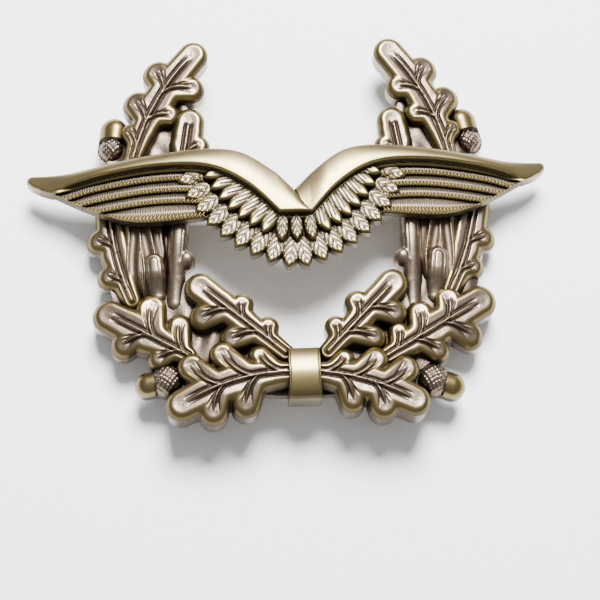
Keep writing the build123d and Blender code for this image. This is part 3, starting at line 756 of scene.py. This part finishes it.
def flight_parts(side):
    parts = []
    for k in range(FLIGHT_COUNT):
        xs = np.linspace(FLIGHT_FROM, FLIGHT_TO, FLIGHT_ALONG)
        high, low = flight_y(k, xs), flight_y(k + 1, xs)
        wide = high - low > FLIGHT_THINNEST
        xs, high, low = xs[wide], high[wide], low[wide]
        parts.append(strip(side, xs, low + FLIGHT_GAP, high, flight_profile))
    return parts


def covert_part(root, tip, half, top, tuck, slashes):
    """Short pointed feather: parallel sides, an ogive tip, and a cut pattern on its upper part."""
    dx, dy = tip[0] - root[0], tip[1] - root[1]
    length = math.hypot(dx, dy)
    ux, uy = dx / length, dy / length
    root = (root[0] - ux * tuck, root[1] - uy * tuck)
    length += tuck
    nose = COVERT_NOSE * half
    radius = (nose * nose + half * half) / (2 * half)

    def frame_of(x, y):
        forward = (x - root[0]) * ux + (y - root[1]) * uy
        return forward, -(x - root[0]) * uy + (y - root[1]) * ux

    def inside(x, y):
        forward, aside = frame_of(x, y)
        past = np.clip(forward - (length - nose), 0, None)
        d = radius - np.hypot(past, np.abs(aside) + radius - half)
        return np.minimum(d, forward)

    def shape(x, y):
        d = inside(x, y)
        forward, aside = frame_of(x, y)
        to_tip = length - forward
        h = top - COVERT_SLOPE * to_tip - COVERT_EDGE * round_edge(d, COVERT_EDGE)
        h = h - COVERT_CROWN * (aside / half) ** 2
        field = smoothstep(0.2, 0.38, d)
        if slashes:
            wave = np.sin(2 * math.pi * (aside - 0.42 * to_tip + 0.1) / SLASH_PITCH)
            zone = smoothstep(1.1, 1.7, to_tip)
        else:
            wave = np.sin(2 * math.pi * (to_tip + 1.3 * np.abs(aside)) / CHEVRON_PITCH)
            zone = smoothstep(0.55, 1.0, to_tip)
        cut = field * zone * smoothstep(0.3, 0.9, wave)
        quill = bump(aside, 0, 0.06) * field * zone * (0.0 if slashes else 1.0)
        h = h - 0.03 * field * zone - 0.09 * cut + 0.06 * quill
        # Painted shade: a thin dark outline along the feather's edge.
        edge = 1 - smoothstep(0.0, 0.09, d)
        polish = np.clip(1 - 0.75 * field * zone, 0, 1)
        return h, {"polish": polish, "antiquing_and_shade": np.maximum(0.6 * cut, edge), "grain": 0.5 * field * zone}

    return relief(inside, shape, span_of((root, tip), half + 0.3), WING_BACK, WINGS_STEP)


def covert_row(radius, first, step, count, inner_length, outer_length):
    """Root and tip of each feather in one row, on the positive side."""
    row = []
    for i in range(count):
        angle = math.radians(first + step * i)
        length = inner_length + (outer_length - inner_length) * i / (count - 1)
        ends = []
        for r in (radius - length, radius):
            ends.append((FAN[0] + r * math.cos(angle), FAN[1] + r * math.sin(angle)))
        row.append(ends)
    return row


def small_row():
    """Three short feathers under the V."""
    row = []
    for k in (-1, 0, 1):
        x = k * SMALL_PITCH
        row.append([(x, SMALL_ROOT_Y), (x * SMALL_SPREAD, SMALL_TIP_Y)])
    return row


def wing_row(side, row, half, top, tuck, slashes):
    """Solids of one row of coverts on one side."""
    parts = []
    for ends in row:
        placed = [(wing_x(side, x), y) for x, y in ends]
        parts.append(covert_part(*placed, half, top, tuck, slashes))
    return parts


def plate_part(side):
    """Plain web behind bar and feathers. The under edge ends where the belly starts, so that
    point is taken once."""
    ring = smooth_line(BAR_TOP[:-1]) + smooth_line(UNDER[::-1]) + smooth_line(BELLY)[1:]
    ring = [(wing_x(side, x), y) for x, y in ring]

    def inside(x, y):
        return polygon_inside(x, y, ring) - PLATE_INSET

    def shape(x, y):
        return PLATE_H + 0 * x, {"polish": 0.2, "antiquing_and_shade": 0.85, "grain": 0.5}

    xs = [p[0] for p in ring]
    return relief(inside, shape, (min(xs), -5.5, max(xs), 10.0), WING_BACK, GROUND_STEP)


WINGS = ("badge", "wings_bronze", ["wings"], WINGS_METAL)
for side_name, side in (("left", -1), ("right", 1)):
    make_object("wing_plate_" + side_name, [plate_part(side)], *WINGS)
    make_object("wing_bar_" + side_name, [bar_part(side)], *WINGS)
    make_object("flight_feathers_" + side_name, flight_parts(side), *WINGS)
    lower = wing_row(side, covert_row(*ROW2), ROW2_HALF, ROW2_H, ROW2_TUCK, False)
    upper = wing_row(side, covert_row(*ROW1), ROW1_HALF, ROW1_H, ROW1_TUCK, True)
    make_object("coverts_lower_" + side_name, lower, *WINGS)
    make_object("coverts_upper_" + side_name, upper, *WINGS)
middle = wing_row(1, small_row(), SMALL_HALF, SMALL_H, SMALL_TUCK, False)
make_object("coverts_middle", middle, *WINGS)


# -- band --------------------------------------------------------------------
BAND_X, BAND_W = 0.6, 3.8
BAND_Y0, BAND_Y1 = -22.1, -15.9
BAND_TOP = 9.7 - BACK_Z
BAND_EDGE_H = 3.2       # height of its front at the two ends
BAND_BASE = -0.5


def band_part():
    """The strip's crowned front; its waist is a little narrower at the top."""
    xs = np.linspace(-1, 1, 46)[None, :]
    ys = np.linspace(0, 1, 60)[:, None]
    flare = 1 - 0.06 * smoothstep(0.7, 1.0, ys) + 0.02 * np.cos(6.28 * ys)
    X = BAND_X + xs * BAND_W / 2 * flare
    Y = BAND_Y0 + (BAND_Y1 - BAND_Y0) * ys + 0 * xs
    crown = np.clip(1 - np.abs(2 * ys - 1) ** 1.7, 0, 1) ** 0.5
    lip = 0.12 * smoothstep(0.82, 0.95, np.abs(xs))
    corner = 0.25 * smoothstep(0.955, 1.0, np.abs(xs))
    h = BAND_EDGE_H + (BAND_TOP - BAND_EDGE_H) * crown - 0.12 + lip - corner
    keep = np.ones((X.shape[0] - 1, X.shape[1] - 1), bool)
    # Painted shade: the band darkens towards its top and bottom ends.
    antiquing_and_shade = 0.75 * smoothstep(0.55, 1.0, np.abs(2 * ys - 1)) + 0 * X
    return block(X, Y, h + 0 * X, keep, BAND_BASE, {"polish": 0.95, "antiquing_and_shade": antiquing_and_shade, "grain": 0.1})


make_object("tie_band_front", [band_part()], "badge", "wings_bronze", ["tie_band"], WINGS_METAL)

FIXINGS = ("wing_rivet_left", "wing_rivet_right", "rivet_washer_left", "rivet_washer_right",
           "hinge_plate", "hinge_bracket", "hinge_pin", "catch_plate", "catch_body", "catch_lock")
for node, metal in [("needle", NEEDLE_METAL)] + [(node, FIXINGS_METAL) for node in FIXINGS]:
    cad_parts[node].data.materials.clear()
    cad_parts[node].data.materials.append(metal)


# -- surroundings ------------------------------------------------------------
def floor():
    """White paper."""
    size = 1.6
    mesh = bpy.data.meshes.new("floor")
    corners = [(-size, -size, 0), (size, -size, 0), (size, size, 0), (-size, size, 0)]
    mesh.from_pydata(corners, [], [(0, 1, 2, 3)])
    obj = bpy.data.objects.new("floor", mesh)
    bpy.context.scene.collection.objects.link(obj)
    n = Nodes("floor_paper")
    n.feed(n.shader.inputs["Base Color"], (0.90, 0.90, 0.90, 1))
    n.feed(n.shader.inputs["Roughness"], 0.8)
    mesh.materials.append(n.material)


def key_light():
    """One round soft box beyond the head of the badge."""
    data = bpy.data.lights.new("key", "AREA")
    data.shape = "DISK"
    data.size = 0.20
    data.energy = 9.0
    obj = bpy.data.objects.new("key", data)
    obj.location = (0.03, 0.20, 0.36)
    obj.rotation_euler = (-Vector(obj.location)).to_track_quat("-Z", "Y").to_euler()
    bpy.context.scene.collection.objects.link(obj)


def camera():
    """Looking down, 18 degrees off square from the foot of the badge."""
    data = bpy.data.cameras.new("camera")
    data.lens = 108.5
    data.sensor_width = 36.0
    data.clip_start = 0.01
    obj = bpy.data.objects.new("camera", data)
    obj.location = (-11.95 * MM, -76.0 * MM, 212.2 * MM)
    obj.rotation_euler = tuple(math.radians(a) for a in (18.04, -2.59, -2.78))
    bpy.context.scene.collection.objects.link(obj)
    bpy.context.scene.camera = obj


def studio_world():
    """Grey room, lighter overhead than at the sides."""
    world = bpy.data.worlds.new("studio")
    bpy.context.scene.world = world
    world.use_nodes = True
    tree = world.node_tree
    place = tree.nodes.new("ShaderNodeTexCoord")
    split = tree.nodes.new("ShaderNodeSeparateXYZ")
    spread = tree.nodes.new("ShaderNodeMapRange")
    spread.inputs["From Min"].default_value = 0.1
    spread.inputs["From Max"].default_value = 0.95
    spread.inputs["To Min"].default_value = 0.25
    spread.inputs["To Max"].default_value = 0.75
    tree.links.new(place.outputs["Generated"], split.inputs[0])
    tree.links.new(split.outputs["Z"], spread.inputs["Value"])
    background = tree.nodes["Background"]
    background.inputs["Color"].default_value = (0.96, 0.98, 1.0, 1)
    tree.links.new(spread.outputs["Result"], background.inputs["Strength"])


floor()
key_light()
camera()
studio_world()
